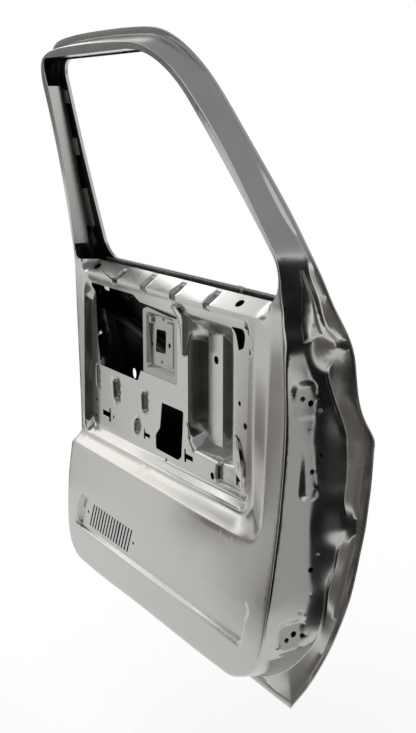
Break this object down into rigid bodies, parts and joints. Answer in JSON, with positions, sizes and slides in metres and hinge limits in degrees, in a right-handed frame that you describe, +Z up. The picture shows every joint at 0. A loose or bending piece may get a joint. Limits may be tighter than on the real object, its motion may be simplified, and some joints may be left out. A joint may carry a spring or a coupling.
{
  "type": "car door shell",
  "caption": "Bare pressed-steel left front van door shell with full window frame, inner panel with access openings, hinge wall and hemmed outer skin.",
  "frame": {"origin": "on the outer face of the upper hinge seat, on the door's front wall, just above the seat's middle bolt hole", "axes": "+X points forward to the hinge side, +Y points outboard through the outer skin, +Z points up"},
  "size_m": [1.1127, 0.2207, 1.3458],
  "materials": {
    "beam_front_bracket": "bare sheet steel, satin, slightly darker",
    "beam_rear_bracket": "bare sheet steel, satin, slightly darker",
    "check_strap_nut_1": "zinc-plated steel, satin",
    "check_strap_nut_2": "zinc-plated steel, satin",
    "check_strap_plate": "bare sheet steel, satin, slightly darker",
    "front_glass_guide": "bare pressed sheet steel, satin with faint drawing marks",
    "front_guide_bracket": "bare sheet steel, satin, slightly darker",
    "front_guide_foot": "bare pressed sheet steel, satin with faint drawing marks",
    "front_run_channel": "bare pressed sheet steel, satin with faint drawing marks",
    "inner_handle_bracket": "bare sheet steel, satin, slightly darker",
    "inner_panel": "bare pressed sheet steel, satin with faint drawing marks",
    "inner_waist_rail": "bare pressed sheet steel, satin with faint drawing marks",
    "latch_nut_1": "zinc-plated steel, satin",
    "latch_nut_2": "zinc-plated steel, satin",
    "latch_nut_3": "zinc-plated steel, satin",
    "latch_plate": "bare sheet steel, satin, slightly darker",
    "lower_hinge_nut_1": "zinc-plated steel, satin",
    "lower_hinge_nut_2": "zinc-plated steel, satin",
    "lower_hinge_plate": "bare sheet steel, satin, slightly darker",
    "outer_handle_plate": "bare sheet steel, satin, slightly darker",
    "outer_skin": "bare pressed sheet steel, satin with faint drawing marks",
    "outer_waist_rail": "bare pressed sheet steel, satin with faint drawing marks",
    "rear_glass_guide": "bare pressed sheet steel, satin with faint drawing marks",
    "rear_guide_foot": "bare pressed sheet steel, satin with faint drawing marks",
    "rear_run_channel": "bare pressed sheet steel, satin with faint drawing marks",
    "side_impact_beam": "bare sheet steel, satin, slightly darker",
    "top_run_channel": "bare pressed sheet steel, satin with faint drawing marks",
    "upper_hinge_nut_1": "zinc-plated steel, satin",
    "upper_hinge_nut_2": "zinc-plated steel, satin",
    "upper_hinge_plate": "bare sheet steel, satin, slightly darker",
    "waist_rail_bracket": "bare sheet steel, satin, slightly darker"
  },
  "bodies": {
    "root": {"beam_front_bracket": "beam_front_bracket", "beam_rear_bracket": "beam_rear_bracket", "check_strap_nut_1": "check_strap_nut_1", "check_strap_nut_2": "check_strap_nut_2", "check_strap_plate": "check_strap_plate", "front_glass_guide": "front_glass_guide", "front_guide_bracket": "front_guide_bracket", "front_guide_foot": "front_guide_foot", "front_run_channel": "front_run_channel", "inner_handle_bracket": "inner_handle_bracket", "inner_panel": "inner_panel", "inner_waist_rail": "inner_waist_rail", "latch_nut_1": "latch_nut_1", "latch_nut_2": "latch_nut_2", "latch_nut_3": "latch_nut_3", "latch_plate": "latch_plate", "lower_hinge_nut_1": "lower_hinge_nut_1", "lower_hinge_nut_2": "lower_hinge_nut_2", "lower_hinge_plate": "lower_hinge_plate", "outer_handle_plate": "outer_handle_plate", "outer_skin": "outer_skin", "outer_waist_rail": "outer_waist_rail", "rear_glass_guide": "rear_glass_guide", "rear_guide_foot": "rear_guide_foot", "rear_run_channel": "rear_run_channel", "side_impact_beam": "side_impact_beam", "top_run_channel": "top_run_channel", "upper_hinge_nut_1": "upper_hinge_nut_1", "upper_hinge_nut_2": "upper_hinge_nut_2", "upper_hinge_plate": "upper_hinge_plate", "waist_rail_bracket": "waist_rail_bracket"}
  },
  "joints": []
}
